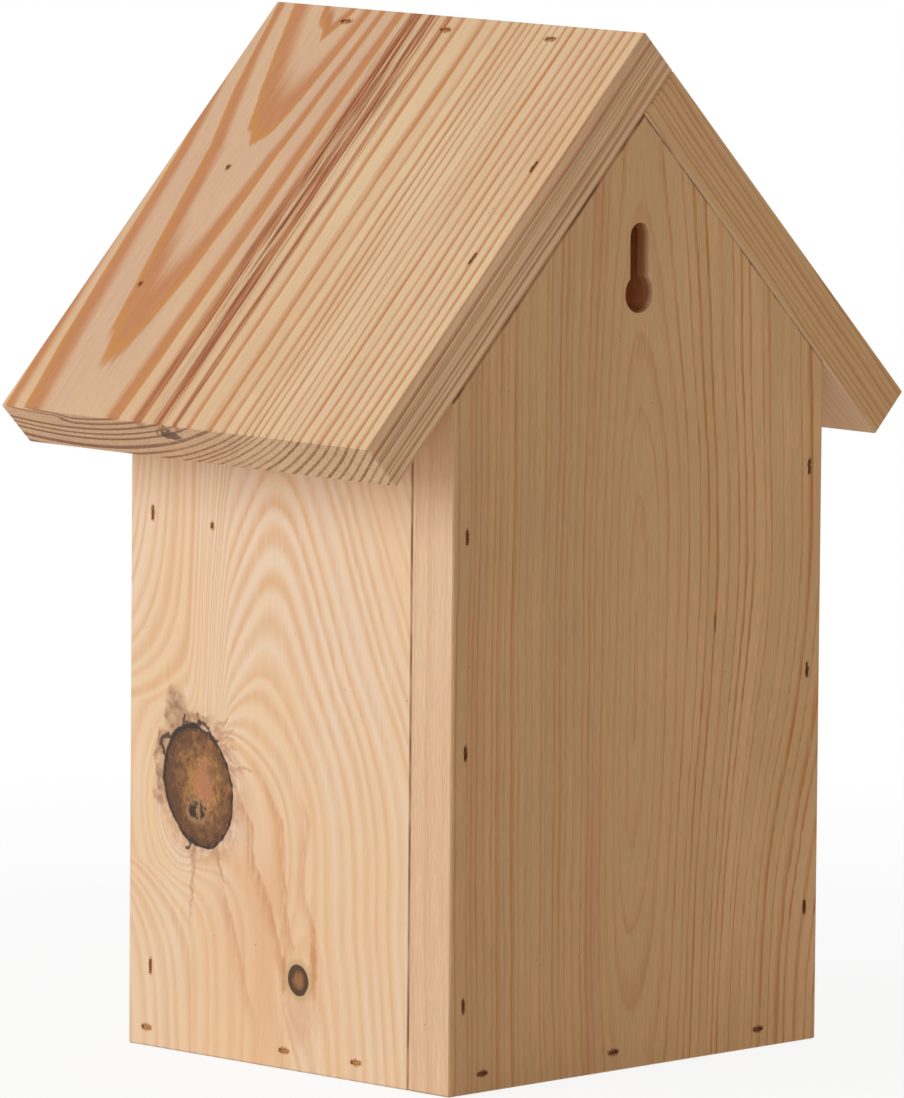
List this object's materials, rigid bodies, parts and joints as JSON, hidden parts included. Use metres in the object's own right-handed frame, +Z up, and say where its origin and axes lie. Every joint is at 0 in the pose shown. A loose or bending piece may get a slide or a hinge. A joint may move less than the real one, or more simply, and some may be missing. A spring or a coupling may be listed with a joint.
{
  "type": "bee hotel",
  "caption": "Gabled pine bee hotel with a saddle roof, bamboo nesting canes behind an open front, a drilled nesting block in the gable and a keyhole slot in its back.",
  "frame": {"origin": "on the ground under the middle of the roof", "axes": "+Z up, the open front faces -Y, the back board with the keyhole faces +Y, +X to the right seen from the front"},
  "size_m": [0.2418, 0.1624, 0.3256],
  "materials": {
    "pine": "planed and untreated",
    "bamboo": "natural cane, sawn ends",
    "staple_steel": "bright wire"
  },
  "bodies": {
    "root": {"back_board": "pine", "back_foot_staples": "staple_steel", "back_wall_staples": "staple_steel", "block_brads": "staple_steel", "block_wall_staples": "staple_steel", "far_left_canes": "bamboo", "far_right_canes": "bamboo", "floor_board": "pine", "front_bearer": "pine", "front_bearer_staples": "staple_steel", "left_canes": "bamboo", "left_roof_panel": "pine", "left_wall": "pine", "nesting_block": "pine", "rear_bearer": "pine", "ridge_staples": "staple_steel", "right_canes": "bamboo", "right_roof_panel": "pine", "right_wall": "pine", "roof_back_staples": "staple_steel", "roof_front_brads": "staple_steel", "wall_floor_staples": "staple_steel"}
  },
  "joints": []
}
